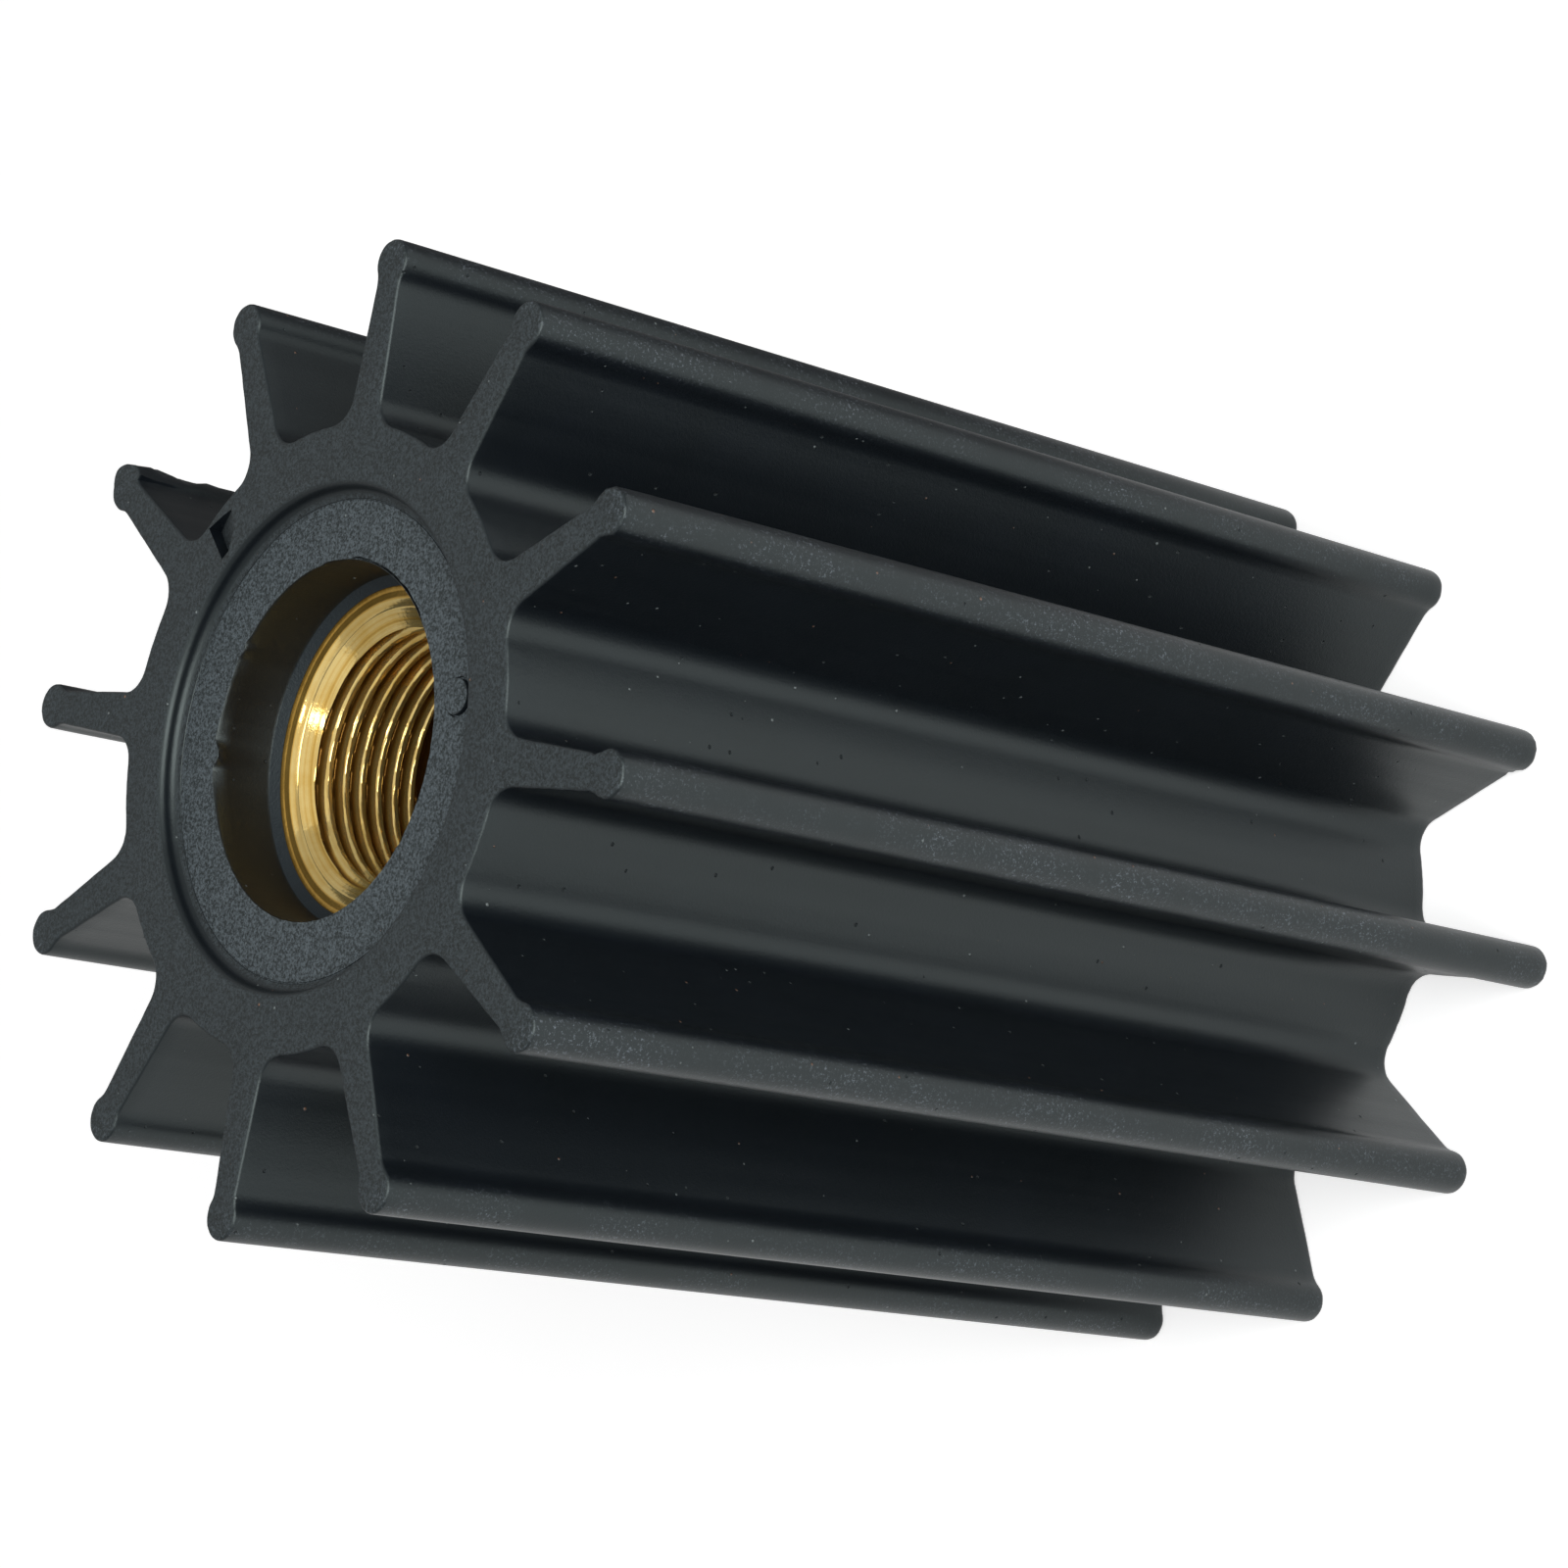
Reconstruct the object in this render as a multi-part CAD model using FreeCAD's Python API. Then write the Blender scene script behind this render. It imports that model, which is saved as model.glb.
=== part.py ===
import FreeCAD, Part
import math
import os

V = FreeCAD.Vector

# Overall size of the impeller, in millimetres
body_length = 127.0
outer_radius = 47.625
vane_count = 12
vane_pitch_deg = 360.0 / vane_count

# Vane section, square to the axis
bead_radius = 2.3
bead_centre_radius = outer_radius - bead_radius
bead_blend_radius = 3.0
hub_radius = 30.06
root_fillet_radius = 3.0
blade_inner_radius = 33.0
blade_outer_radius = 42.0
blade_half_at_inner = 2.25
blade_half_at_outer = 1.8
end_edge_bevel = 0.35

# Ring recess moulded in both end faces
recess_radius = 24.0
recess_depth = 1.8
recess_rim_round = 0.8
recess_foot_round = 0.9

# Openings in the rubber that lead to the metal insert
mouth_radius = 17.2
front_mouth_depth = 8.0
front_seat_depth = 8.7
rear_mouth_depth = 3.0
rear_seat_depth = 4.0

# Metal insert, bonded in the rubber with no gap
insert_radius = 17.5
insert_face_radius = 16.1
insert_end_bevel = insert_radius - insert_face_radius
insert_front = body_length - front_seat_depth
insert_rear = rear_seat_depth
dish_radius = 14.75
dish_depth = 0.4

# Puller thread, M27 x 2, stood for by its minor bore
thread_minor_radius = 12.418
thread_length = 13.0
countersink_depth = 1.6
relief_radius = 13.8
relief_length = 5.0
thread_top = insert_front - dish_depth - countersink_depth
thread_bottom = thread_top - thread_length
relief_bottom = thread_bottom - relief_length

# Drive bore for the pump shaft, with one keyway
drive_bore_radius = 11.0
drive_bore_bevel = 0.8
keyway_width = 6.0
keyway_depth = 2.8

# Small marks of the mould in the front face
pad_radius = 1.7
pad_height = 0.4
pad_at_radius = 20.8
pad_angle_deg = -75.0
notch_corners = ((29.5, 49.8), (28.6, 42.6), (26.8, 42.4), (25.1, 47.4), (25.2, 50.2))
notch_depth = 1.5
notch_hinge_deg = 42.0
notch_span = 4.2


def polar(radius, angle_deg, height=0.0):
    angle = math.radians(angle_deg)
    return V(radius * math.cos(angle), radius * math.sin(angle), height)


def arc(start, middle, end):
    return Part.Arc(start, middle, end).toShape()


def toward(centre, direction, distance):
    unit = V(direction)
    unit.normalize()
    return centre + unit * distance


def blend_edge(centre, radius, start, end):
    middle = toward(centre, (start - centre) + (end - centre), radius)
    return arc(start, middle, end)


# The flank of a blade is a straight line that tapers towards the tip
flank_start = V(blade_inner_radius, blade_half_at_inner, 0)
flank_run = V(blade_outer_radius, blade_half_at_outer, 0) - flank_start
flank_run.normalize()
flank_normal = V(-flank_run.y, flank_run.x, 0)
flank_offset = flank_start.dot(flank_normal)


def centre_off_flank(radius, about, reach, side):
    """Centre of an arc that touches the flank and a circle about a point on the blade's mid line."""
    line_distance = flank_offset + radius
    foot = flank_normal * line_distance + flank_run * about.dot(flank_run)
    height = (foot - about).dot(flank_normal)
    along = math.sqrt(reach ** 2 - height ** 2)
    return foot + flank_run * (along * side)


# Points where the arcs of one flank meet
origin = V(0, 0, 0)
bead_centre = V(bead_centre_radius, 0, 0)
root_centre = centre_off_flank(root_fillet_radius, origin, hub_radius + root_fillet_radius, 1)
blend_centre = centre_off_flank(bead_blend_radius, bead_centre, bead_radius + bead_blend_radius, -1)
hub_point = toward(origin, root_centre, hub_radius)
root_point = root_centre - flank_normal * root_fillet_radius
neck_point = blend_centre - flank_normal * bead_blend_radius
bead_point = toward(bead_centre, blend_centre - bead_centre, bead_radius)
tip_point = V(outer_radius, 0, 0)
hub_point_deg = math.degrees(math.atan2(hub_point.y, hub_point.x))


def mirrored(point):
    return V(point.x, -point.y, 0)


def vane_edges(angle_deg):
    """Outline of one vane and of the hub floor that follows it."""
    edges = [
        blend_edge(mirrored(root_centre), root_fillet_radius, mirrored(hub_point), mirrored(root_point)),
        Part.LineSegment(mirrored(root_point), mirrored(neck_point)).toShape(),
        blend_edge(mirrored(blend_centre), bead_blend_radius, mirrored(neck_point), mirrored(bead_point)),
        arc(mirrored(bead_point), tip_point, bead_point),
        blend_edge(blend_centre, bead_blend_radius, bead_point, neck_point),
        Part.LineSegment(neck_point, root_point).toShape(),
        blend_edge(root_centre, root_fillet_radius, root_point, hub_point),
        arc(hub_point, polar(hub_radius, vane_pitch_deg / 2), polar(hub_radius, vane_pitch_deg - hub_point_deg)),
    ]
    for edge in edges:
        edge.rotate(origin, V(0, 0, 1), angle_deg)
    return edges


def revolved(edges):
    face = Part.Face(Part.Wire(edges))
    return face.revolve(origin, V(0, 0, 1), 360)


def line(start, end):
    return Part.LineSegment(start, end).toShape()


def outline(points):
    """Closed line through points given as radius and height."""
    corners = [V(radius, 0, height) for radius, height in points]
    return [line(a, b) for a, b in zip(corners, corners[1:] + corners[:1])]


def ring_recess(face_height, inward):
    """Shallow recess of an end face, with its round rim and its hollow foot each drawn as two flats."""
    rim_drop = recess_rim_round * (1 - math.sqrt(0.5))
    foot_drop = recess_foot_round * (1 - math.sqrt(0.5))
    return revolved(outline((
        (0.0, face_height),
        (recess_radius + recess_rim_round, face_height),
        (recess_radius + rim_drop, face_height + inward * rim_drop),
        (recess_radius, face_height + inward * recess_rim_round),
        (recess_radius, face_height + inward * (recess_depth - recess_foot_round)),
        (recess_radius - foot_drop, face_height + inward * (recess_depth - foot_drop)),
        (recess_radius - recess_foot_round, face_height + inward * recess_depth),
        (0.0, face_height + inward * recess_depth),
    )))


# One moulded outline with all vanes, pulled to full length
outline_edges = []
for index in range(vane_count):
    outline_edges += vane_edges(index * vane_pitch_deg)
section = Part.Face(Part.Wire(Part.__sortEdges__(outline_edges)))
body = section.extrude(V(0, 0, body_length))

# Insert envelope: the same shape is taken out of the rubber and is the outside of the insert
insert_outline = outline((
    (0.0, insert_rear),
    (insert_face_radius, insert_rear),
    (insert_radius, insert_rear + insert_end_bevel),
    (insert_radius, insert_front - insert_end_bevel),
    (insert_face_radius, insert_front),
    (0.0, insert_front),
))
insert_blank = revolved(insert_outline)

# Core of the mould: mouths that narrow onto the insert's end faces
front_core = revolved(outline((
    (0.0, body_length),
    (mouth_radius, body_length),
    (mouth_radius, body_length - front_mouth_depth),
    (insert_face_radius, insert_front),
    (0.0, insert_front),
)))
rear_core = revolved(outline((
    (0.0, 0.0),
    (mouth_radius, 0.0),
    (mouth_radius, rear_mouth_depth),
    (insert_face_radius, insert_rear),
    (0.0, insert_rear),
)))

body = body.cut(ring_recess(body_length, -1))
body = body.cut(ring_recess(0.0, 1))


# Edges of both ends of the vanes and hub lose their sharpness in the mould
def end_edges(shape):
    found = []
    for edge in shape.Edges:
        box = edge.BoundBox
        flat = box.ZLength < 1e-4
        at_end = abs(box.ZMin) < 1e-4 or abs(box.ZMax - body_length) < 1e-4
        middle = edge.valueAt((edge.FirstParameter + edge.LastParameter) / 2)
        outside = math.hypot(middle.x, middle.y) > hub_radius - 0.01
        if flat and at_end and outside:
            found.append(edge)
    return found


body = body.makeChamfer(end_edge_bevel, end_edges(body))
body = body.cut(front_core).cut(rear_core).cut(insert_blank)

# Pin pad on the front recess floor
pad_foot = polar(pad_at_radius, pad_angle_deg, body_length - recess_depth - pad_height)
pad = Part.makeCylinder(pad_radius, pad_height * 2, pad_foot)
body = body.fuse(pad)

# Wedge-shaped mark in the front ring, deepest at its far side
notch_wire = Part.makePolygon([polar(r, a, body_length - notch_depth) for r, a in notch_corners + notch_corners[:1]])
notch = Part.Face(notch_wire).extrude(V(0, 0, notch_depth * 2))
notch_slope = Part.makePolygon([
    V(0, 0, 0),
    V(0, notch_span, 0),
    V(0, notch_span, -notch_depth),
    V(0, 0, 0),
])
wedge = Part.Face(notch_slope).extrude(V(outer_radius, 0, 0))
wedge.rotate(origin, V(0, 0, 1), notch_hinge_deg)
wedge.translate(V(0, 0, body_length))
body = body.cut(notch.common(wedge))
body = body.removeSplitter()

# Hollow of the insert, from its front face down to its rear face
hollow = revolved(outline((
    (0.0, insert_rear),
    (drive_bore_radius + drive_bore_bevel, insert_rear),
    (drive_bore_radius, insert_rear + drive_bore_bevel),
    (drive_bore_radius, relief_bottom),
    (relief_radius, relief_bottom + (relief_radius - drive_bore_radius)),
    (relief_radius, thread_bottom),
    (thread_minor_radius, thread_bottom + (relief_radius - thread_minor_radius)),
    (thread_minor_radius, thread_top),
    (dish_radius, insert_front - dish_depth),
    (insert_face_radius, insert_front),
    (0.0, insert_front),
)))
insert = insert_blank.cut(hollow)
keyway = Part.makeBox(
    drive_bore_radius + keyway_depth,
    keyway_width,
    relief_bottom + (relief_radius - drive_bore_radius) - insert_rear,
    V(0, -keyway_width / 2, insert_rear),
)
insert = insert.cut(keyway)

os.makedirs("parts", exist_ok=True)
body.exportStep("parts/rubber_impeller_body.step")
insert.exportStep("parts/brass_hub_insert.step")
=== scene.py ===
import bmesh
import bpy
import math
import numpy as np
from mathutils import Matrix, Vector, noise


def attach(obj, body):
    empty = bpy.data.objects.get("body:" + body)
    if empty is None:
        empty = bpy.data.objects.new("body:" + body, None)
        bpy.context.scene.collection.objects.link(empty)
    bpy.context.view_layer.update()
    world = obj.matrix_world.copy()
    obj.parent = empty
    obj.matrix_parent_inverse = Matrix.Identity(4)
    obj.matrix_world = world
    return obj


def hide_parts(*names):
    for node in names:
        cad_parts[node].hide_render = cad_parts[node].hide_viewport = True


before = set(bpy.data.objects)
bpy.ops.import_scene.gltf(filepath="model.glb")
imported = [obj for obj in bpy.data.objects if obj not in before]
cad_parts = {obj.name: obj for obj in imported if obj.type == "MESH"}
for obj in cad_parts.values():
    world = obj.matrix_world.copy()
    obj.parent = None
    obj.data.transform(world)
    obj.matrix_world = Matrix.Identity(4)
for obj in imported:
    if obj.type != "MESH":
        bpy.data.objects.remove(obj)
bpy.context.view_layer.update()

# Brass hub insert: a turned brass hub that the rubber is moulded onto. Its front end is
# bevelled, countersunk and cut with the puller thread, and the keyed drive bore lies
# behind a relief groove. Rubber hides its outside.
mm = 0.001
insert_rear = 4.0
insert_front = 118.3
insert_radius = 17.5
insert_face_radius = 16.1
insert_end_bevel = insert_radius - insert_face_radius
countersink_radius = 14.75
countersink_height = 117.9
thread_top = 116.3
thread_bottom = 103.3
thread_pitch = 2.0
thread_start = 0.36
thread_minor_radius = 12.418
thread_major_radius = 13.5
thread_root_share = 0.16
thread_crest_share = 0.78
thread_run_out = 0.95
relief_radius = 13.8
relief_bottom = 98.3
drive_bore_radius = 11.0
drive_bore_bevel = 0.8
keyway_half_width = 3.0
keyway_floor = 13.8
insert_divisions = 256
thread_step = 0.09
relief_step = 0.3


def thread_radius(angle, height):
    """Radius of the thread's surface: flat crests, 60 degree flanks and a rounded root."""
    phase = ((height - thread_start) / thread_pitch - angle / (2 * math.pi)) % 1.0
    from_root = abs(phase - 0.5) * 2
    share = np.clip((from_root - thread_root_share) / (thread_crest_share - thread_root_share), 0, 1)
    share = share * share * (3 - 2 * share) * 0.5 + share * 0.5
    return thread_major_radius + (thread_minor_radius - thread_major_radius) * share


def plain_radius(height):
    """Radius of the countersink, the minor bore and the relief groove, with no thread."""
    places = (
        (relief_bottom, drive_bore_radius),
        (relief_bottom + relief_radius - drive_bore_radius, relief_radius),
        (thread_bottom, relief_radius),
        (thread_bottom + relief_radius - thread_minor_radius, thread_minor_radius),
        (thread_top, thread_minor_radius),
        (countersink_height, countersink_radius),
    )
    heights, radii = zip(*places)
    return float(np.interp(height, heights, radii))


def round_ring(radius, height, divisions):
    turn = [2 * math.pi * i / divisions for i in range(divisions)]
    return [(radius * math.cos(a), radius * math.sin(a), height) for a in turn]


def keyed_ring(radius, height):
    """A round bore whose first points on each side of +X run along the keyway."""
    ring = round_ring(radius, height, insert_divisions)
    reach = int(math.asin(keyway_half_width / radius) / (2 * math.pi) * insert_divisions)
    edge = math.sqrt(radius ** 2 - keyway_half_width ** 2)
    corner = reach // 2
    for step in range(-reach, reach + 1):
        side = 1 if step > 0 else -1
        if abs(step) <= corner:
            point = (keyway_floor, keyway_half_width * step / corner, height)
        else:
            share = (abs(step) - corner) / (reach - corner)
            point = (keyway_floor + (edge - keyway_floor) * share, keyway_half_width * side, height)
        ring[step % insert_divisions] = point
    return ring


def lathe(name, rings):
    """A mesh of rings with equal numbers of points, with the last ring joined to the first."""
    count = len(rings[0])
    points = [tuple(c * mm for c in p) for ring in rings for p in ring]
    faces = []
    for k in range(len(rings)):
        low, high = k * count, ((k + 1) % len(rings)) * count
        for i in range(count):
            j = (i + 1) % count
            faces.append((low + i, low + j, high + j, high + i))
    mesh = bpy.data.meshes.new(name)
    mesh.from_pydata(points, [], faces)
    mesh.validate()
    return mesh


# the rear end and the outside, then the flat of the face with two fine steps left by the
# tool, and the lip of the countersink
insert_rings = []
for radius, height in (
    (drive_bore_radius + drive_bore_bevel, insert_rear),
    (insert_face_radius, insert_rear),
    (insert_radius, insert_rear + insert_end_bevel),
    (insert_radius, insert_front - insert_end_bevel),
    (insert_face_radius + 0.04, insert_front - 0.04),
    (insert_face_radius - 0.10, insert_front - 0.03),
    (15.72, insert_front - 0.20),
    (15.60, insert_front - 0.23),
    (15.10, insert_front - 0.26),
    (14.98, insert_front - 0.29),
    (14.90, insert_front - 0.34),
    (14.30, insert_front - 0.72),
    (14.24, insert_front - 0.80),
    (14.18, insert_front - 0.80),
):
    insert_rings.append(round_ring(radius, height, insert_divisions))
insert_rings[0] = keyed_ring(drive_bore_radius + drive_bore_bevel, insert_rear)
# down the countersink, the thread and the relief in fine steps, then the keyed bore
height = countersink_height - 0.42
while height > relief_bottom:
    ring = []
    bore = plain_radius(height)
    threaded = thread_bottom < height < thread_top + thread_run_out
    for i in range(insert_divisions):
        angle = 2 * math.pi * i / insert_divisions
        radius = max(bore, thread_radius(angle, height)) if threaded else bore
        ring.append((radius * math.cos(angle), radius * math.sin(angle), height))
    insert_rings.append(ring)
    height -= thread_step if height > thread_bottom - 0.2 else relief_step
insert_rings.append(keyed_ring(drive_bore_radius, relief_bottom))
for share in (0.75, 0.5, 0.25):
    span = relief_bottom - insert_rear - drive_bore_bevel
    insert_rings.append(keyed_ring(drive_bore_radius, insert_rear + drive_bore_bevel + span * share))
insert_rings.append(keyed_ring(drive_bore_radius, insert_rear + drive_bore_bevel))

insert_mesh = lathe("brass_hub_insert_turned", insert_rings)
insert_mesh.flip_normals()
insert_mesh.shade_smooth()
insert_mesh.set_sharp_from_angle(angle=math.radians(38))
insert = bpy.data.objects.new("brass_hub_insert_turned", insert_mesh)
bpy.context.scene.collection.objects.link(insert)


def linear(hexadecimal):
    """sRGB hex to linear colour with alpha."""
    channels = [int(hexadecimal[i:i + 2], 16) / 255 for i in (1, 3, 5)]
    return tuple(c / 12.92 if c <= 0.04045 else ((c + 0.055) / 1.055) ** 2.4 for c in channels) + (1.0,)


def add(tree, kind, settings=None, values=None, links=None):
    """Adds one node: settings are its properties, values its socket defaults, links what runs in."""
    made = tree.nodes.new(kind)
    for key, value in (settings or {}).items():
        setattr(made, key, value)
    for key, value in (values or {}).items():
        made.inputs[key].default_value = value
    for key, source in (links or {}).items():
        tree.links.new(source, made.inputs[key])
    return made


# Leaded brass, turned and threaded on a lathe. The eye gets fine rings from the tool,
# bright gold on crests and edges, and brown tarnish and old coolant down in the valleys.
brass = bpy.data.materials.new("turned_brass")
brass.use_nodes = True
tree = brass.node_tree
tree.nodes.clear()
place = add(tree, "ShaderNodeTexCoord")
parts = add(tree, "ShaderNodeSeparateXYZ", links={0: place.outputs["Object"]})
flat = add(tree, "ShaderNodeCombineXYZ", links={0: parts.outputs[0], 1: parts.outputs[1]})
out_from_axis = add(tree, "ShaderNodeVectorMath", {"operation": "LENGTH"}, links={0: flat.outputs[0]})
# valleys of the thread, from the crest radius to the root radius, 12.42 to 13.5 mm
depth = add(tree, "ShaderNodeMapRange", values={1: 12.95 * mm, 2: 13.40 * mm},
            links={0: out_from_axis.outputs["Value"]})
# the stain fills the threaded stretch below the countersink, and all of the bore behind it
below = add(tree, "ShaderNodeMapRange", values={1: 117.0 * mm, 2: 116.5 * mm}, links={0: parts.outputs[2]})
behind = add(tree, "ShaderNodeMapRange", values={1: 104.2 * mm, 2: 103.4 * mm, 4: 0.35},
             links={0: parts.outputs[2]})
# the flat of the face, outside the countersink, is handled and browned
outer = add(tree, "ShaderNodeMapRange", values={1: 14.85 * mm, 2: 15.05 * mm, 4: 0.38},
            links={0: out_from_axis.outputs["Value"]})
# cloudy tarnish, patches of about 3 mm
cloud = add(tree, "ShaderNodeTexNoise", values={"Scale": 1 / (3 * mm), "Detail": 5.0, "Roughness": 0.6},
            links={"Vector": place.outputs["Object"]})
# rings of tone left by the tool, about 0.3 mm apart
ring_place = add(tree, "ShaderNodeCombineXYZ",
                 links={0: out_from_axis.outputs["Value"], 1: parts.outputs[2]})
ring_tone = add(tree, "ShaderNodeTexNoise",
                values={"Scale": 1 / (0.3 * mm), "Detail": 2.0, "Roughness": 0.6},
                links={"Vector": ring_place.outputs[0]})
stain = add(tree, "ShaderNodeMath", {"operation": "MULTIPLY"},
            links={0: depth.outputs[0], 1: below.outputs[0]})
stain_inside = add(tree, "ShaderNodeMath", {"operation": "MAXIMUM"},
                   links={0: stain.outputs[0], 1: behind.outputs[0]})
stain_outer = add(tree, "ShaderNodeMath", {"operation": "MAXIMUM"},
                  links={0: stain_inside.outputs[0], 1: outer.outputs[0]})
stain_cloud = add(tree, "ShaderNodeMath", {"operation": "MULTIPLY_ADD"}, {1: 0.40, 2: -0.18},
                  {0: cloud.outputs["Fac"]})
stain_rings = add(tree, "ShaderNodeMath", {"operation": "MULTIPLY_ADD"}, {1: 0.50},
                  {0: ring_tone.outputs["Fac"], 2: stain_cloud.outputs[0]})
stain_level = add(tree, "ShaderNodeMath", {"operation": "SUBTRACT"}, {1: 0.20}, {0: stain_rings.outputs[0]})
stained = add(tree, "ShaderNodeMath", {"operation": "ADD", "use_clamp": True},
              links={0: stain_outer.outputs[0], 1: stain_level.outputs[0]})
tone = add(tree, "ShaderNodeValToRGB", links={0: stained.outputs[0]})
tone.color_ramp.elements[0].color = linear("#DEC480")
tone.color_ramp.elements[1].color = linear("#6B4A18")
for position, colour in ((0.22, "#CDA857"), (0.55, "#A37B30")):
    stop = tone.color_ramp.elements.new(position)
    stop.color = linear(colour)
# clean crests are polished by the tool, and tarnish dulls the rest
dulled = add(tree, "ShaderNodeMapRange", values={3: 0.11, 4: 0.27}, links={0: stained.outputs[0]})
# fine knocks and scratches, about 0.5 mm apart
scratch = add(tree, "ShaderNodeTexNoise", values={"Scale": 1 / (0.5 * mm), "Detail": 3.0},
              links={"Vector": place.outputs["Object"]})
relief = add(tree, "ShaderNodeMath", {"operation": "ADD"},
             links={0: ring_tone.outputs["Fac"], 1: scratch.outputs["Fac"]})
grain = add(tree, "ShaderNodeBump", values={"Strength": 0.4, "Distance": 0.03 * mm},
            links={"Height": relief.outputs[0]})
# the tool's rings draw each reflection out across them, and a thin film of oxide and old
# coolant scatters some of the light, hence a metallic share of 0.85
round_axis = add(tree, "ShaderNodeTangent", {"direction_type": "RADIAL", "axis": "Z"})
surface = add(tree, "ShaderNodeBsdfPrincipled",
              values={"Metallic": 0.85, "Anisotropic": 0.3, "Anisotropic Rotation": 0.25},
              links={"Base Color": tone.outputs[0], "Roughness": dulled.outputs[0],
                     "Normal": grain.outputs[0], "Tangent": round_axis.outputs[0]})
add(tree, "ShaderNodeOutputMaterial", links={0: surface.outputs[0]})

insert_mesh.materials.append(brass)
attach(insert, "root")
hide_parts("brass_hub_insert")


# Rubber impeller body: one moulding of black nitrile rubber round the insert, with the hub,
# straight tapered vanes with a round bead at each tip, and a ring recess in both ends. The
# mould leaves small rounds on every edge, a pin pad and a wedge mark in front, and flash.
body_length = 127.0
outer_radius = 47.625
vane_count = 12
vane_pitch = 2 * math.pi / vane_count
bead_radius = 2.3
bead_blend_radius = 3.0
hub_radius = 30.06
root_fillet_radius = 3.0
flank_inner = Vector((33.0, 2.25))
flank_outer = Vector((42.0, 1.8))
front_edge_round = 0.35
rear_edge_round = 0.8
recess_radius = 24.0
recess_depth = 1.8
recess_rim_round = 0.8
recess_foot_round = 0.9
recess_groove_depth = 0.06
mouth_radius = 17.2
front_mouth_depth = 8.0
front_seat_depth = 8.7
rear_mouth_depth = 3.0
rear_seat_depth = 4.0
ring_divisions = 384
edge_steps = 4
recess_steps = 7
root_steps, flank_steps, blend_steps, tip_steps, hub_steps = 9, 9, 8, 12, 12

bead_centre = Vector((outer_radius - bead_radius, 0.0))
flank_run = (flank_outer - flank_inner).normalized()
flank_normal = Vector((-flank_run.y, flank_run.x))


def centre_off_flank(radius, about, reach, side):
    """Centre of an arc that touches the flank and lies a given reach from a point of the vane."""
    foot = flank_normal * (flank_inner.dot(flank_normal) + radius) + flank_run * about.dot(flank_run)
    rise = (foot - about).dot(flank_normal)
    return foot + flank_run * (side * math.sqrt(reach ** 2 - rise ** 2))


root_centre = centre_off_flank(root_fillet_radius, Vector((0, 0)), hub_radius + root_fillet_radius, 1)
blend_centre = centre_off_flank(bead_blend_radius, bead_centre, bead_radius + bead_blend_radius, -1)
hub_point = root_centre.normalized() * hub_radius
root_point = root_centre - flank_normal * root_fillet_radius
neck_point = blend_centre - flank_normal * bead_blend_radius
bead_point = bead_centre + (blend_centre - bead_centre).normalized() * bead_radius


def swept(centre, start, end, steps, inward):
    """Points of an arc with the normal that points out of the rubber."""
    first = math.atan2(start.y - centre.y, start.x - centre.x)
    last = math.atan2(end.y - centre.y, end.x - centre.x)
    turn = (last - first + math.pi) % (2 * math.pi) - math.pi
    radius = (start - centre).length
    found = []
    for i in range(steps):
        way = Vector((math.cos(first + turn * i / steps), math.sin(first + turn * i / steps)))
        found.append((centre + way * radius, -way if inward else way))
    return found


# the section of one vane, from the hub out to the tip and back, and the hub up to the next
half_vane = swept(root_centre, hub_point, root_point, root_steps, True)
half_vane += [(root_point.lerp(neck_point, i / flank_steps), flank_normal) for i in range(flank_steps)]
half_vane += swept(blend_centre, neck_point, bead_point, blend_steps, True)
half_vane += swept(bead_centre, bead_point, Vector((outer_radius, 0)), tip_steps, False)
tip = (Vector((outer_radius, 0)), Vector((1, 0)))
other_half = [(Vector((p.x, -p.y)), Vector((n.x, -n.y))) for p, n in half_vane]
hub_turn = math.atan2(hub_point.y, hub_point.x)
hub_turns = [hub_turn + (vane_pitch - 2 * hub_turn) * i / hub_steps for i in range(1, hub_steps)]
hub_ways = [Vector((math.cos(a), math.sin(a))) for a in hub_turns]
hub_part = [(way * hub_radius, way) for way in hub_ways]
one_vane = other_half + [tip] + half_vane[::-1] + hub_part

outline = []
for index in range(vane_count):
    turned = Matrix.Rotation(index * vane_pitch, 2)
    outline += [(turned @ p, turned @ n, index) for p, n in one_vane]


# wear, in mm: lengths run from an end face, and a bead is worn beyond the radius given for
# it; vanes are counted from 0 at +X, every 30 degrees
worn_length = 2.5
crumbled_vanes = (9, 10)
crumbled_from = 43.0
ragged_vane = 2
ragged_from = 44.0
ragged_length = 24.0
flash_length = 5.0


def uneven(point, normal, height, index):
    """How far flash and trimming move the surface near the two ends, in mm."""
    from_front = body_length - height
    near = max(0.0, 1 - min(height, from_front) / worn_length)
    crumbled = 0.30 if index in crumbled_vanes and point.length > crumbled_from else 0.10
    rough = -abs(noise.noise(Vector((point.x * 0.9, point.y * 0.9, height * 0.25)))) * crumbled * near
    if index == ragged_vane and point.length > ragged_from:
        torn = max(0.0, 1 - from_front / ragged_length)
        upper_side = max(0.0, normal.x)
        lumps = noise.noise(Vector((point.x * 0.5, point.y * 0.5, height * 0.55)))
        rough += lumps * 0.8 * torn * upper_side
        rough += 0.7 * max(0.0, 1 - from_front / flash_length) * upper_side
    return rough


body_mesh = bmesh.new()


def ring_of(points):
    return [body_mesh.verts.new(Vector(p) * mm) for p in points]


def bridge(low, high):
    count = len(low)
    for i in range(count):
        j = (i + 1) % count
        body_mesh.faces.new((low[i], low[j], high[j], high[i]))


def side_ring(height, inset):
    points = []
    for point, normal, index in outline:
        moved = point + normal * (uneven(point, normal, height, index) - inset)
        points.append((moved.x, moved.y, height))
    return ring_of(points)


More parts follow.
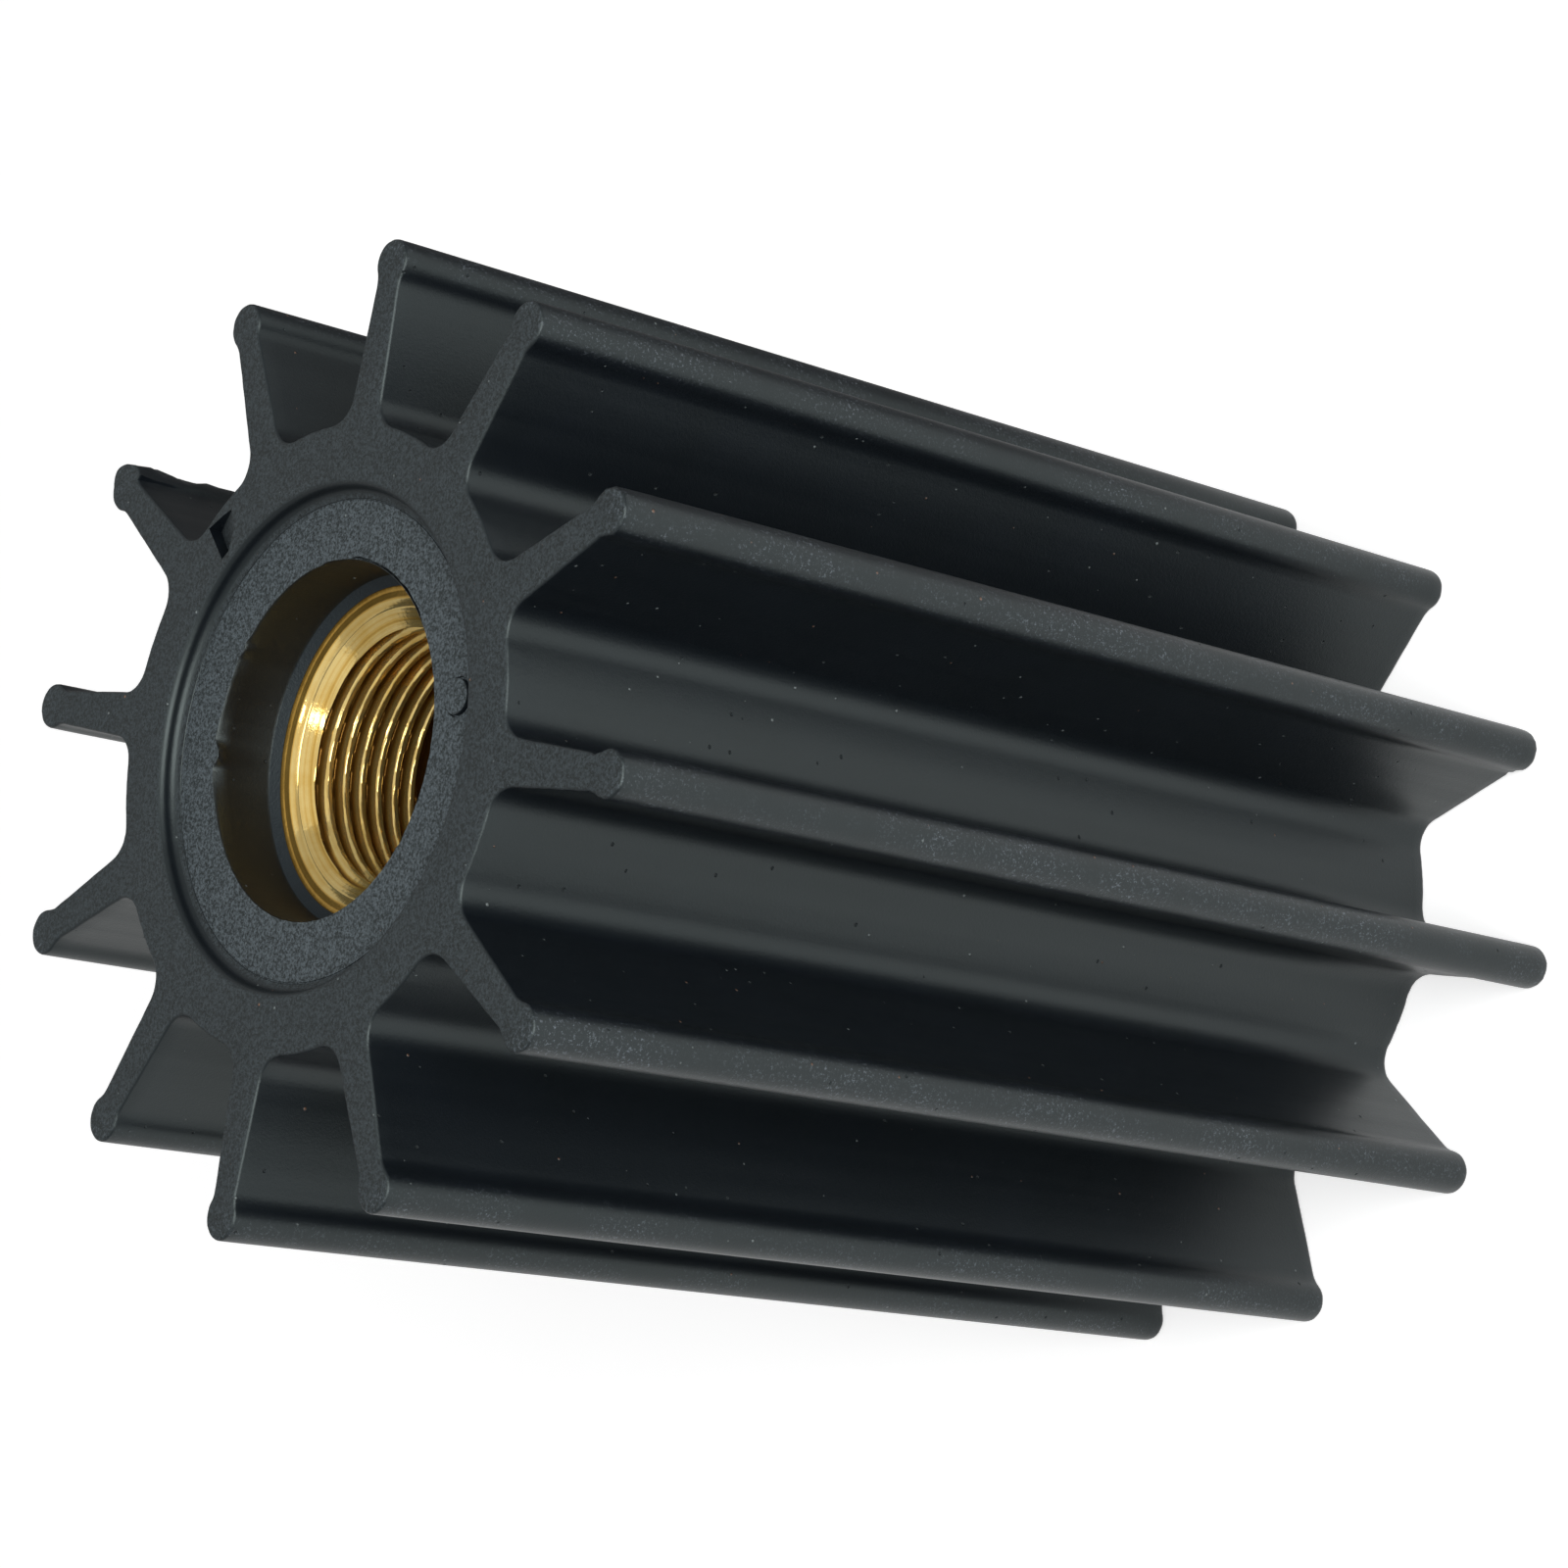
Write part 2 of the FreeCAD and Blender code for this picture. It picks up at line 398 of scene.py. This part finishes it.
# rings along the length, as height and inset: a round edge at each end, wide steps in the
# middle and short ones near the front, where one bead is ragged
levels = []
for k in range(edge_steps + 1):
    turn = math.pi / 2 * (1 - k / edge_steps)
    levels.append((rear_edge_round * (1 - math.sin(turn)), rear_edge_round * (1 - math.cos(turn))))
levels += [(2.0 + i * 7.6, 0.0) for i in range(13)]
levels += [(101.0 + i * 1.5, 0.0) for i in range(17)]
for k in range(edge_steps + 1):
    turn = math.pi / 2 * k / edge_steps
    levels.append((body_length - front_edge_round * (1 - math.sin(turn)),
                   front_edge_round * (1 - math.cos(turn))))
sides = [side_ring(height, inset) for height, inset in levels]
for low, high in zip(sides, sides[1:]):
    bridge(low, high)


def recess_profile():
    """Round rim, hollow foot and the fine groove at its end, as radius and depth."""
    turns = [math.pi / 2 * k / recess_steps for k in range(recess_steps + 1)]
    rim = [(recess_radius + recess_rim_round * (1 - math.sin(a)), recess_rim_round * (1 - math.cos(a)))
           for a in turns]
    foot = [(recess_radius - recess_foot_round * (1 - math.cos(a)),
             recess_depth - recess_foot_round * (1 - math.sin(a))) for a in turns]
    end = recess_radius - recess_foot_round
    groove_floor = recess_depth + recess_groove_depth
    return rim + foot + [(end - 0.04, groove_floor), (end - 0.14, groove_floor), (end - 0.18, recess_depth)]


# torn places and small steps in the front mouth's edge, as angle and outward shift in mm,
# joined by straight runs
mouth_tears = (
    (-180.0, 0.0), (-121.0, 0.0), (-118.5, 0.14), (-116.0, 0.0), (8.0, 0.0), (14.0, 0.10), (17.0, -0.06),
    (24.0, 0.0), (58.5, 0.05), (61.2, 0.34), (62.6, 0.02), (64.5, 0.02), (66.1, 0.24), (72.0, 0.10),
    (84.0, 0.10), (87.0, 0.24), (91.4, 0.26), (93.5, 0.44), (95.6, 0.10), (97.0, -0.26), (99.5, -0.32),
    (101.2, -0.06), (103.0, 0.42), (108.0, 0.34), (116.0, 0.12), (130.0, 0.0), (180.0, 0.0),
)


def mouth_edge(angle_deg):
    """Outward shift of the mouth's edge at an angle from -180 to 180 degrees, in mm."""
    angles, shifts = zip(*mouth_tears)
    ripple = noise.noise(Vector((angle_deg * 0.35, 0.0, 3.0))) * 0.05
    return float(np.interp(angle_deg, angles, shifts)) + ripple


def mouth_turns():
    """Turn in radians and signed angle in degrees of each point of a ring round the mouth."""
    turns = [2 * math.pi * i / ring_divisions for i in range(ring_divisions)]
    return [(turn, math.degrees((turn + math.pi) % (2 * math.pi) - math.pi)) for turn in turns]


def mouth_ring(at, shift, share):
    """One ring of the front mouth's edge; share is how much of the torn edge it still has."""
    points = []
    for turn, angle_deg in mouth_turns():
        radius = mouth_radius + shift + mouth_edge(angle_deg) * share
        points.append((radius * math.cos(turn), radius * math.sin(turn), at))
    return ring_of(points)


def lip_ring(shift, drop):
    """One ring of the thin lip of flash that stands off the mouth's edge from -48 to 5 degrees."""
    points = []
    for turn, angle_deg in mouth_turns():
        split = float(np.interp(angle_deg, (-49.0, -40.0, -5.0, 6.0), (0.0, 0.8, 1.0, 0.0)))
        open_split = max(0.0, split + noise.noise(Vector((angle_deg * 0.2, 0.0, 9.0))) * 0.5 * (split > 0))
        radius = mouth_radius + mouth_edge(angle_deg) + 0.08 + (shift - 0.08) * max(open_split, 0.15)
        points.append((radius * math.cos(turn), radius * math.sin(turn), front_floor - drop * open_split))
    return ring_of(points)


def bridge_all(rings):
    for low, high in zip(rings, rings[1:]):
        bridge(low, high)


# front recess, mouth and seat, from the rim inwards; a mouth ring is given as drop, outward
# shift and share of the tears
front_floor = body_length - recess_depth
front_recess = [ring_of(round_ring(radius, body_length - depth, ring_divisions))
                for radius, depth in recess_profile()]
front_mouth = [lip_ring(0.36, 0.0), lip_ring(0.30, 0.5), lip_ring(0.13, 0.5), lip_ring(0.09, 0.0)]
front_mouth += [mouth_ring(front_floor - drop, shift, share) for drop, shift, share in (
    (0.0, 0.06, 1.0), (0.05, 0.02, 1.0), (0.35, 0.0, 0.85), (0.8, 0.0, 0.2), (1.6, 0.0, 0.0))]
front_mouth += [ring_of(round_ring(radius, body_length - depth, ring_divisions)) for radius, depth in (
    (mouth_radius, front_mouth_depth - 0.15), (mouth_radius - 0.12, front_mouth_depth + 0.12),
    (insert_face_radius, front_seat_depth), (insert_radius, front_seat_depth + insert_end_bevel))]
bridge_all(front_recess)
bridge_all(front_mouth)

# the same at the rear, with a plain mouth
rear_recess = [ring_of(round_ring(radius, depth, ring_divisions)) for radius, depth in recess_profile()]
rear_mouth = [ring_of(round_ring(radius, depth, ring_divisions)) for radius, depth in (
    (mouth_radius + 0.07, recess_depth), (mouth_radius, recess_depth + 0.07),
    (mouth_radius, rear_mouth_depth), (insert_face_radius, rear_seat_depth),
    (insert_radius, rear_seat_depth + insert_end_bevel))]
bridge_all(rear_recess)
bridge_all(rear_mouth)
bridge(front_mouth[-1], rear_mouth[-1])

# the wedge mark, deepest on its far side
notch_corners = ((29.5, 49.8), (28.6, 42.6), (26.8, 42.4), (25.1, 47.4), (25.2, 50.2))
notch_depth = 1.5
notch_hinge = math.radians(42.0)
notch_span = 4.2
notch_top, notch_low = [], []
for k in range(len(notch_corners)):
    (r0, a0), (r1, a1) = notch_corners[k], notch_corners[(k + 1) % len(notch_corners)]
    for share in (0.0, 0.34, 0.67):
        radius, turn = r0 + (r1 - r0) * share, math.radians(a0 + (a1 - a0) * share)
        across = radius * math.sin(turn - notch_hinge)
        wobble = noise.noise(Vector((radius * 1.1, across, 0.0))) * 0.10
        deep = max(0.05, notch_depth * across / notch_span + wobble)
        way = (math.cos(turn), math.sin(turn))
        notch_top.append(((radius + wobble) * way[0], (radius + wobble) * way[1], body_length))
        notch_low.append((radius * 0.998 * way[0], radius * 0.998 * way[1], body_length - deep))
notch_top, notch_low = ring_of(notch_top), ring_of(notch_low)
bridge(notch_low, notch_top)
body_mesh.faces.new(notch_low)

# the pin pad, a low disc that stands in a fine groove of the recess floor
pad_at_radius = 20.8
pad_turn = math.radians(-75)
pad_divisions = 48
pad_profile = ((1.88, 0.0), (1.82, -0.16), (1.68, -0.16), (1.70, 0.26), (1.66, 0.34), (1.58, 0.38),
               (1.45, 0.40))
pad_centre = Vector((pad_at_radius * math.cos(pad_turn), pad_at_radius * math.sin(pad_turn), 0))
pad_rings = []
for radius, rise in pad_profile:
    pad_rings.append(ring_of([(pad_centre.x + x, pad_centre.y + y, front_floor + rise)
                              for x, y, z in round_ring(radius, 0, pad_divisions)]))
bridge_all(pad_rings)
body_mesh.faces.new(pad_rings[-1])


def cap(loops):
    """Fills a flat face between its outline and the loops inside it."""
    edges = []
    for loop in loops:
        for a, b in zip(loop, loop[1:] + loop[:1]):
            edge = body_mesh.edges.get((a, b)) or body_mesh.edges.new((a, b))
            edge.smooth = False
            edges.append(edge)
    bmesh.ops.triangle_fill(body_mesh, edges=edges, use_beauty=True)


cap([sides[-1], front_recess[0], notch_top])
cap([front_recess[-1], front_mouth[0], pad_rings[0]])
cap([sides[0], rear_recess[0]])
cap([rear_recess[-1], rear_mouth[0]])

bmesh.ops.recalc_face_normals(body_mesh, faces=body_mesh.faces)
moulding = bpy.data.meshes.new("rubber_impeller_moulding")
body_mesh.to_mesh(moulding)
body_mesh.free()
moulding.shade_smooth()
moulding.set_sharp_from_angle(angle=math.radians(35))
impeller = bpy.data.objects.new("rubber_impeller_moulding", moulding)
bpy.context.scene.collection.objects.link(impeller)

# Black nitrile rubber with carbon filler, compression moulded in a ground steel mould. The
# flanks are satin with pinholes and long soft streaks of the mould release, the end faces
# are matte with a fine pitted grain, and pale dust sits on both.
rubber = bpy.data.materials.new("black_nitrile_rubber")
rubber.use_nodes = True
tree = rubber.node_tree
tree.nodes.clear()
place = add(tree, "ShaderNodeTexCoord")
facing = add(tree, "ShaderNodeNewGeometry")
facing_parts = add(tree, "ShaderNodeSeparateXYZ", links={0: facing.outputs["True Normal"]})
upright = add(tree, "ShaderNodeMath", {"operation": "ABSOLUTE"}, links={0: facing_parts.outputs[2]})
# 1 on the end faces, 0 on the flanks
end_face = add(tree, "ShaderNodeMapRange", values={1: 0.75, 2: 0.97}, links={0: upright.outputs[0]})
parts = add(tree, "ShaderNodeSeparateXYZ", links={0: place.outputs["Object"]})
flat = add(tree, "ShaderNodeCombineXYZ", links={0: parts.outputs[0], 1: parts.outputs[1]})
out_from_axis = add(tree, "ShaderNodeVectorMath", {"operation": "LENGTH"}, links={0: flat.outputs[0]})
# the mouth's wall, inside a radius of 17.7 mm, is a near-black with a faint warm cast
in_mouth = add(tree, "ShaderNodeMapRange", values={1: 17.9 * mm, 2: 17.7 * mm},
               links={0: out_from_axis.outputs["Value"]})
upright_wall = add(tree, "ShaderNodeMath", {"operation": "SUBTRACT", "use_clamp": True},
                   links={0: in_mouth.outputs[0], 1: end_face.outputs[0]})
# the narrow cone that seats on the insert lies inside 17.15 mm and is smooth and blue-black
on_seat = add(tree, "ShaderNodeMapRange", values={1: 17.17 * mm, 2: 17.08 * mm},
              links={0: out_from_axis.outputs["Value"]})
# streaks 1.5 mm wide and 60 mm long
long_way = add(tree, "ShaderNodeMapping", values={"Scale": (1.0, 1.0, 0.025)},
               links={0: place.outputs["Object"]})
streak = add(tree, "ShaderNodeTexNoise", values={"Scale": 1 / (1.5 * mm), "Detail": 3.0, "Roughness": 0.5},
             links={"Vector": long_way.outputs[0]})
# cloudy bloom, patches of about 9 mm
bloom = add(tree, "ShaderNodeTexNoise", values={"Scale": 1 / (9 * mm), "Detail": 4.0, "Roughness": 0.55},
            links={"Vector": place.outputs["Object"]})
# pitted grain: pits about 0.3 mm apart, coarser than the real 0.2 mm so that they show
pits = add(tree, "ShaderNodeTexNoise", values={"Scale": 1 / (0.30 * mm), "Detail": 3.0, "Roughness": 0.8},
           links={"Vector": place.outputs["Object"]})
# dust specks up to 0.3 mm wide, in cells of 1.8 mm, some pale and some rusty
dust_cells = add(tree, "ShaderNodeTexVoronoi", {"feature": "F1"},
                 {"Scale": 1 / (1.8 * mm), "Randomness": 1.0}, {"Vector": place.outputs["Object"]})
dust_pick = add(tree, "ShaderNodeSeparateColor", links={0: dust_cells.outputs["Color"]})
dust_size = add(tree, "ShaderNodeMapRange", values={1: 0.35, 2: 1.0, 3: 0.0, 4: 0.11},
                links={0: dust_pick.outputs[0]})
dust_gap = add(tree, "ShaderNodeMath", {"operation": "SUBTRACT"},
               links={0: dust_size.outputs[0], 1: dust_cells.outputs["Distance"]})
dust = add(tree, "ShaderNodeMapRange", values={1: 0.0, 2: 0.05}, links={0: dust_gap.outputs[0]})
# the grain of the end faces: dark pits between paler rubbed grains
face_tone = add(tree, "ShaderNodeMapRange", values={1: 0.41, 2: 0.61}, links={0: pits.outputs["Fac"]})
ring_colour = add(tree, "ShaderNodeMix", {"data_type": "RGBA"},
                  {6: linear("#101113"), 7: linear("#33393D")}, {0: face_tone.outputs[0]})
floor_colour = add(tree, "ShaderNodeMix", {"data_type": "RGBA"},
                   {6: linear("#131618"), 7: linear("#525A5F")}, {0: face_tone.outputs[0]})
# the recess floor, inside a radius of 23 mm, has a coarser and paler grain than the ring
on_floor = add(tree, "ShaderNodeMapRange", values={1: 23.1 * mm, 2: 22.9 * mm},
               links={0: out_from_axis.outputs["Value"]})
face_colour = add(tree, "ShaderNodeMix", {"data_type": "RGBA"},
                  links={0: on_floor.outputs[0], 6: ring_colour.outputs[2], 7: floor_colour.outputs[2]})
flank_colour = add(tree, "ShaderNodeMix", {"data_type": "RGBA"},
                   {6: linear("#05080C"), 7: linear("#0B0F15")}, {0: bloom.outputs["Fac"]})
sides_and_ends = add(tree, "ShaderNodeMix", {"data_type": "RGBA"},
                     links={0: end_face.outputs[0], 6: flank_colour.outputs[2], 7: face_colour.outputs[2]})
mouth_wall_colour = add(tree, "ShaderNodeMix", {"data_type": "RGBA"}, {7: linear("#0E0D0D")},
              {0: upright_wall.outputs[0], 6: sides_and_ends.outputs[2]})
seated = add(tree, "ShaderNodeMix", {"data_type": "RGBA"}, {7: linear("#0C1118")},
             {0: on_seat.outputs[0], 6: mouth_wall_colour.outputs[2]})
dust_kind = add(tree, "ShaderNodeMath", {"operation": "GREATER_THAN"}, {1: 0.72}, {0: dust_pick.outputs[1]})
dust_colour = add(tree, "ShaderNodeMix", {"data_type": "RGBA"},
                  {6: linear("#7E8686"), 7: linear("#84604A")}, {0: dust_kind.outputs[0]})
dust_cover = add(tree, "ShaderNodeMapRange", values={3: 0.5, 4: 0.9}, links={0: end_face.outputs[0]})
dust_share = add(tree, "ShaderNodeMath", {"operation": "MULTIPLY"},
                 links={0: dust.outputs[0], 1: dust_cover.outputs[0]})
dusty = add(tree, "ShaderNodeMix", {"data_type": "RGBA"},
            links={0: dust_share.outputs[0], 6: seated.outputs[2], 7: dust_colour.outputs[2]})
# bead crests get blue-grey specks of about 0.3 mm in drifts of 9 mm: partly a finer chalky
# dust on the rubbed crests, partly a painted bluish highlight along them
on_crest = add(tree, "ShaderNodeMapRange", values={1: 44.5 * mm, 2: 46.8 * mm},
               links={0: out_from_axis.outputs["Value"]})
crest_chalk_sheen_spots = add(tree, "ShaderNodeMapRange", values={1: 0.56, 2: 0.68}, links={0: pits.outputs["Fac"]})
crest_chalk_sheen_drift = add(tree, "ShaderNodeMapRange", values={1: 0.36, 2: 0.60, 4: 0.7},
                  links={0: bloom.outputs["Fac"]})
crest_chalk_sheen_here = add(tree, "ShaderNodeMath", {"operation": "MULTIPLY"},
                 links={0: crest_chalk_sheen_spots.outputs[0], 1: crest_chalk_sheen_drift.outputs[0]})
crest_chalk_sheen = add(tree, "ShaderNodeMath", {"operation": "MULTIPLY"},
            links={0: crest_chalk_sheen_here.outputs[0], 1: on_crest.outputs[0]})
# partly painted highlight: the blue-grey laid on the crests is partly chalk and partly stands in for light
# along them
crest_chalk_sheen_colour = add(tree, "ShaderNodeMix", {"data_type": "RGBA"}, {7: linear("#676E76")},
             {0: crest_chalk_sheen.outputs[0], 6: dusty.outputs[2]})
# satin flanks, uneven along the streaks, and matte end faces
flank_rough = add(tree, "ShaderNodeMapRange", values={3: 0.32, 4: 0.46}, links={0: streak.outputs["Fac"]})
face_rough = add(tree, "ShaderNodeMapRange", values={3: 0.58, 4: 0.74}, links={0: bloom.outputs["Fac"]})
rough = add(tree, "ShaderNodeMix", {"data_type": "FLOAT"},
            links={0: end_face.outputs[0], 2: flank_rough.outputs[0], 3: face_rough.outputs[0]})
# pinholes of trapped air, 0.35 mm wide and some 10 mm apart
pin_cells = add(tree, "ShaderNodeTexVoronoi", {"feature": "F1"},
                {"Scale": 1 / (3.2 * mm), "Randomness": 1.0}, {"Vector": place.outputs["Object"]})
pinhole = add(tree, "ShaderNodeMapRange", values={1: 0.065, 2: 0.04},
              links={0: pin_cells.outputs["Distance"]})
pitted_rough = add(tree, "ShaderNodeMix", {"data_type": "FLOAT"}, {3: 0.8},
                   {0: pinhole.outputs[0], 2: rough.outputs[0]})
# the pits are deep on the end faces and faint on the flanks, and dust stands proud
pit_share = add(tree, "ShaderNodeMapRange", values={3: 0.18, 4: 0.85}, links={0: end_face.outputs[0]})
pit_height = add(tree, "ShaderNodeMath", {"operation": "MULTIPLY"},
                 links={0: pits.outputs["Fac"], 1: pit_share.outputs[0]})
dust_height = add(tree, "ShaderNodeMath", {"operation": "MULTIPLY_ADD"}, {1: 0.5},
                  {0: dust.outputs[0], 2: pit_height.outputs[0]})
holed = add(tree, "ShaderNodeMath", {"operation": "MULTIPLY_ADD"}, {1: -1.2},
            {0: pinhole.outputs[0], 2: dust_height.outputs[0]})
# the flanks are slightly wavy, 5 mm across and 100 mm along
long_wave = add(tree, "ShaderNodeMapping", values={"Scale": (1.0, 1.0, 0.05)},
                links={0: place.outputs["Object"]})
wave = add(tree, "ShaderNodeTexNoise", values={"Scale": 1 / (5 * mm), "Detail": 1.0},
           links={"Vector": long_wave.outputs[0]})
waviness = add(tree, "ShaderNodeBump", values={"Strength": 1.0, "Distance": 0.12 * mm},
               links={"Height": wave.outputs["Fac"]})
grain = add(tree, "ShaderNodeBump", values={"Strength": 1.0, "Distance": 0.14 * mm},
            links={"Height": holed.outputs[0], "Normal": waviness.outputs[0]})
# the gloss is given a slight blue-green tint
surface = add(tree, "ShaderNodeBsdfPrincipled", values={"Specular Tint": (0.82, 0.96, 0.935, 1.0)},
              links={"Base Color": crest_chalk_sheen_colour.outputs[2], "Roughness": pitted_rough.outputs[0],
                     "Normal": grain.outputs[0]})
add(tree, "ShaderNodeOutputMaterial", links={0: surface.outputs[0]})

moulding.materials.append(rubber)
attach(impeller, "root")
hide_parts("rubber_impeller_body")


# Floor, light and camera: a plain white sheet that the impeller stands on, lit by soft
# boxes. It shows white to the camera and in most reflections, and keeps the soft shadow;
# off the +X side it carries a painted dark reflection.
floor_mesh = bpy.data.meshes.new("floor")
half = 3.0
corners = [(-half, -half, 0), (half, -half, 0), (half, half, 0), (-half, half, 0)]
floor_mesh.from_pydata(corners, [], [(0, 1, 2, 3)])
floor = bpy.data.objects.new("floor", floor_mesh)
bpy.context.scene.collection.objects.link(floor)
paper = bpy.data.materials.new("white_paper")
paper.use_nodes = True
tree = paper.node_tree
tree.nodes.clear()
path = add(tree, "ShaderNodeLightPath")
mirrored = add(tree, "ShaderNodeMath", {"operation": "MAXIMUM"},
               links={0: path.outputs["Is Glossy Ray"], 1: path.outputs["Is Transmission Ray"]})
shown = add(tree, "ShaderNodeMath", {"operation": "MAXIMUM"},
            links={0: path.outputs["Is Camera Ray"], 1: mirrored.outputs[0]})
lit = add(tree, "ShaderNodeBsdfDiffuse", values={"Color": linear("#E8E8E8")})
# far from the lamps the sheet stays as white to the camera as it is near the object
spot = add(tree, "ShaderNodeTexCoord")
away = add(tree, "ShaderNodeVectorMath", {"operation": "LENGTH"}, links={0: spot.outputs["Object"]})
camera_glow = add(tree, "ShaderNodeMapRange", values={1: 0.5, 2: 1.6, 3: 0.20, 4: 0.60},
                  links={0: away.outputs["Value"]})
brighter = add(tree, "ShaderNodeMath", {"operation": "MULTIPLY_ADD"}, {2: 0.28},
               {0: path.outputs["Is Camera Ray"], 1: camera_glow.outputs[0]})
glow = add(tree, "ShaderNodeEmission", values={"Color": (1, 1, 1, 1)},
           links={"Strength": brighter.outputs[0]})
both = add(tree, "ShaderNodeAddShader", links={0: lit.outputs[0], 1: glow.outputs[0]})
seen = add(tree, "ShaderNodeMixShader",
           links={0: shown.outputs[0], 1: lit.outputs[0], 2: both.outputs[0]})
# painted dark reflection: on the +X side, near the object, the sheet is painted near-black
# for glossy rays alone, standing in for a black flag; no flag stands there
spot_parts = add(tree, "ShaderNodeSeparateXYZ", links={0: spot.outputs["Object"]})
beyond = add(tree, "ShaderNodeMapRange", values={1: 50 * mm, 2: 110 * mm, 4: 0.85},
             links={0: spot_parts.outputs[0]})
beside = add(tree, "ShaderNodeMapRange", values={1: -90 * mm, 2: -35 * mm},
             links={0: spot_parts.outputs[1]})
painted_dark_reflection_area = add(tree, "ShaderNodeMath", {"operation": "MULTIPLY"},
                  links={0: beyond.outputs[0], 1: beside.outputs[0]})
painted_dark_reflection_share = add(tree, "ShaderNodeMath", {"operation": "MULTIPLY"},
              links={0: painted_dark_reflection_area.outputs[0], 1: path.outputs["Is Glossy Ray"]})
# the painted dark reflection: a near-black that only glossy rays see on that part of the sheet
painted_dark_reflection = add(tree, "ShaderNodeBsdfDiffuse", values={"Color": linear("#0A0A0A")})
sheet = add(tree, "ShaderNodeMixShader",
            links={0: painted_dark_reflection_share.outputs[0], 1: seen.outputs[0], 2: painted_dark_reflection.outputs[0]})
add(tree, "ShaderNodeOutputMaterial", links={0: sheet.outputs[0]})
floor_mesh.materials.append(paper)

world = bpy.data.worlds.new("studio")
bpy.context.scene.world = world
world.use_nodes = True
tree = world.node_tree
tree.nodes.clear()
# white behind the sheet for the camera, half as bright in reflections, and dim as a light
path = add(tree, "ShaderNodeLightPath")
mirrored = add(tree, "ShaderNodeMath", {"operation": "MAXIMUM"},
               links={0: path.outputs["Is Glossy Ray"], 1: path.outputs["Is Transmission Ray"]})
in_mirror = add(tree, "ShaderNodeMath", {"operation": "MULTIPLY"}, {1: 0.5}, {0: mirrored.outputs[0]})
shown = add(tree, "ShaderNodeMath", {"operation": "MAXIMUM"},
            links={0: path.outputs["Is Camera Ray"], 1: in_mirror.outputs[0]})
level = add(tree, "ShaderNodeMath", {"operation": "MAXIMUM"}, {1: 0.20}, {0: shown.outputs[0]})
air = add(tree, "ShaderNodeBackground", values={"Color": (1, 1, 1, 1)},
          links={"Strength": level.outputs[0]})
add(tree, "ShaderNodeOutputWorld", links={0: air.outputs[0]})

# where the camera stands and how it is turned, as fitted to the photo
camera_place = Vector((-14.819, -327.010, 351.608)) * mm
camera_right = Vector((0.17126694, -0.6518837, -0.73872544))
camera_up = Vector((0.98415244, 0.07822525, 0.15913762))
camera_back = Vector((-0.04595224, -0.75427346, 0.65495033))
aim = Vector((0, 0, body_length / 2 * mm))

# each lamp: name, place and side in metres, and power in watts
for name, x, y, z, size, power in (
    ("soft_box_front", 0.06, -0.75, 0.61, 0.8, 11.0),
    ("soft_box_overhead", -0.05, -0.05, 1.20, 1.4, 2.8),
    ("small_lamp", -0.15, -0.19, 1.08, 0.08, 0.35),
):
    lamp = bpy.data.lights.new(name, "AREA")
    lamp.shape = "SQUARE"
    lamp.size = size
    lamp.energy = power
    holder = bpy.data.objects.new(name, lamp)
    holder.location = (x, y, z)
    holder.rotation_mode = "QUATERNION"
    holder.rotation_quaternion = (aim - holder.location).to_track_quat("-Z", "Y")
    bpy.context.scene.collection.objects.link(holder)

camera = bpy.data.cameras.new("camera")
camera.sensor_width = 36.0
camera.lens = 96.911
camera.clip_start = 0.01
camera.clip_end = 20.0
eye = bpy.data.objects.new("camera", camera)
turned = Matrix((camera_right, camera_up, camera_back)).transposed()
eye.matrix_world = Matrix.Translation(camera_place) @ turned.to_4x4()
bpy.context.scene.collection.objects.link(eye)
bpy.context.scene.camera = eye
bpy.context.scene.view_settings.view_transform = "Standard"
